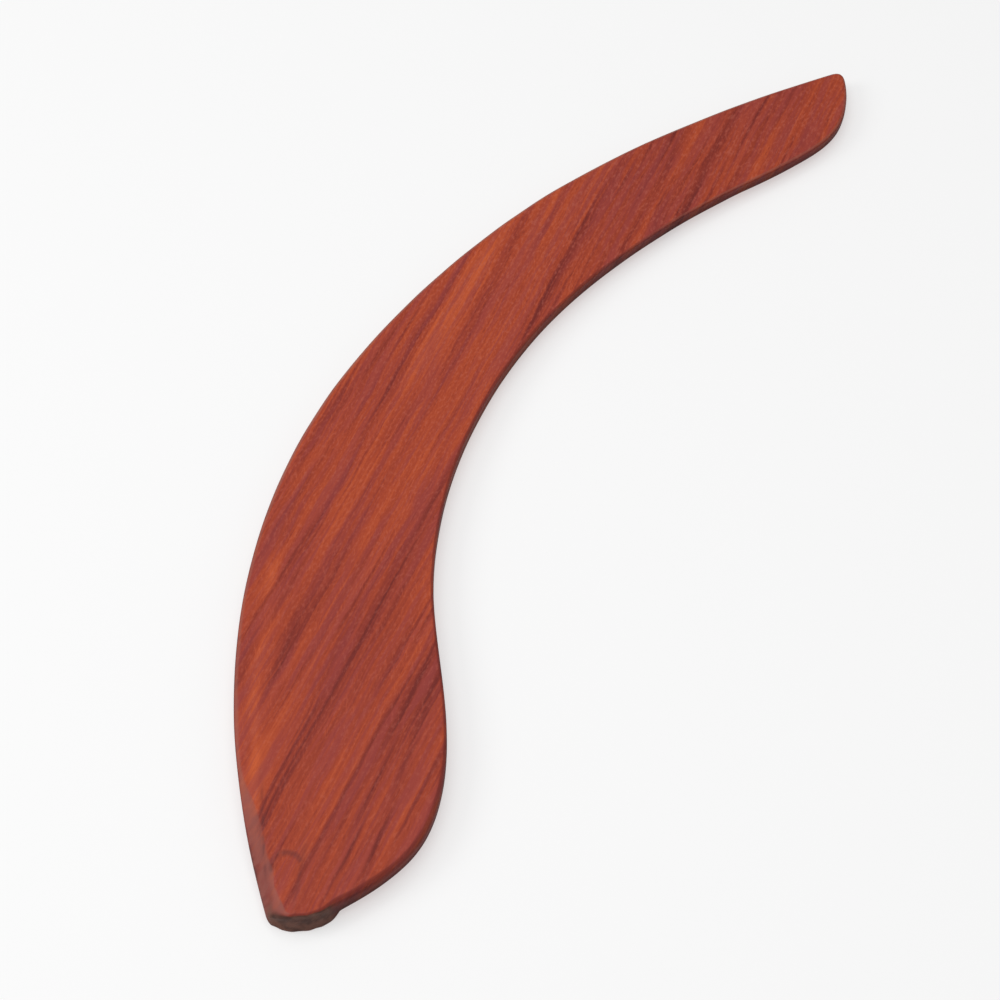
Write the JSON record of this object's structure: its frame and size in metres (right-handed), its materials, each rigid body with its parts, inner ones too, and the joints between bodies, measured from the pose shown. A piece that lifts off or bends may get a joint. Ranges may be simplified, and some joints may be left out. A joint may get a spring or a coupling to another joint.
{
  "type": "boomerang",
  "caption": "Hand-carved wooden throwing stick: a slim grip sweeps in one long bend into a broad leaf-shaped head with a blunt toe; flat face, crowned back.",
  "frame": {"origin": "under the middle of the stick's box, on the plane of the planed flat of the back that it lies on", "axes": "+X along the chord from the toe of the head to the tip of the grip, +Y out of the bend towards the convex edge, +Z from the back to the face"},
  "size_m": [0.4532, 0.1278, 0.0128],
  "materials": {
    "wood": "low satin oil finish on straight-grained reddish-brown hardwood"
  },
  "bodies": {
    "root": {"body": "wood"}
  },
  "joints": []
}
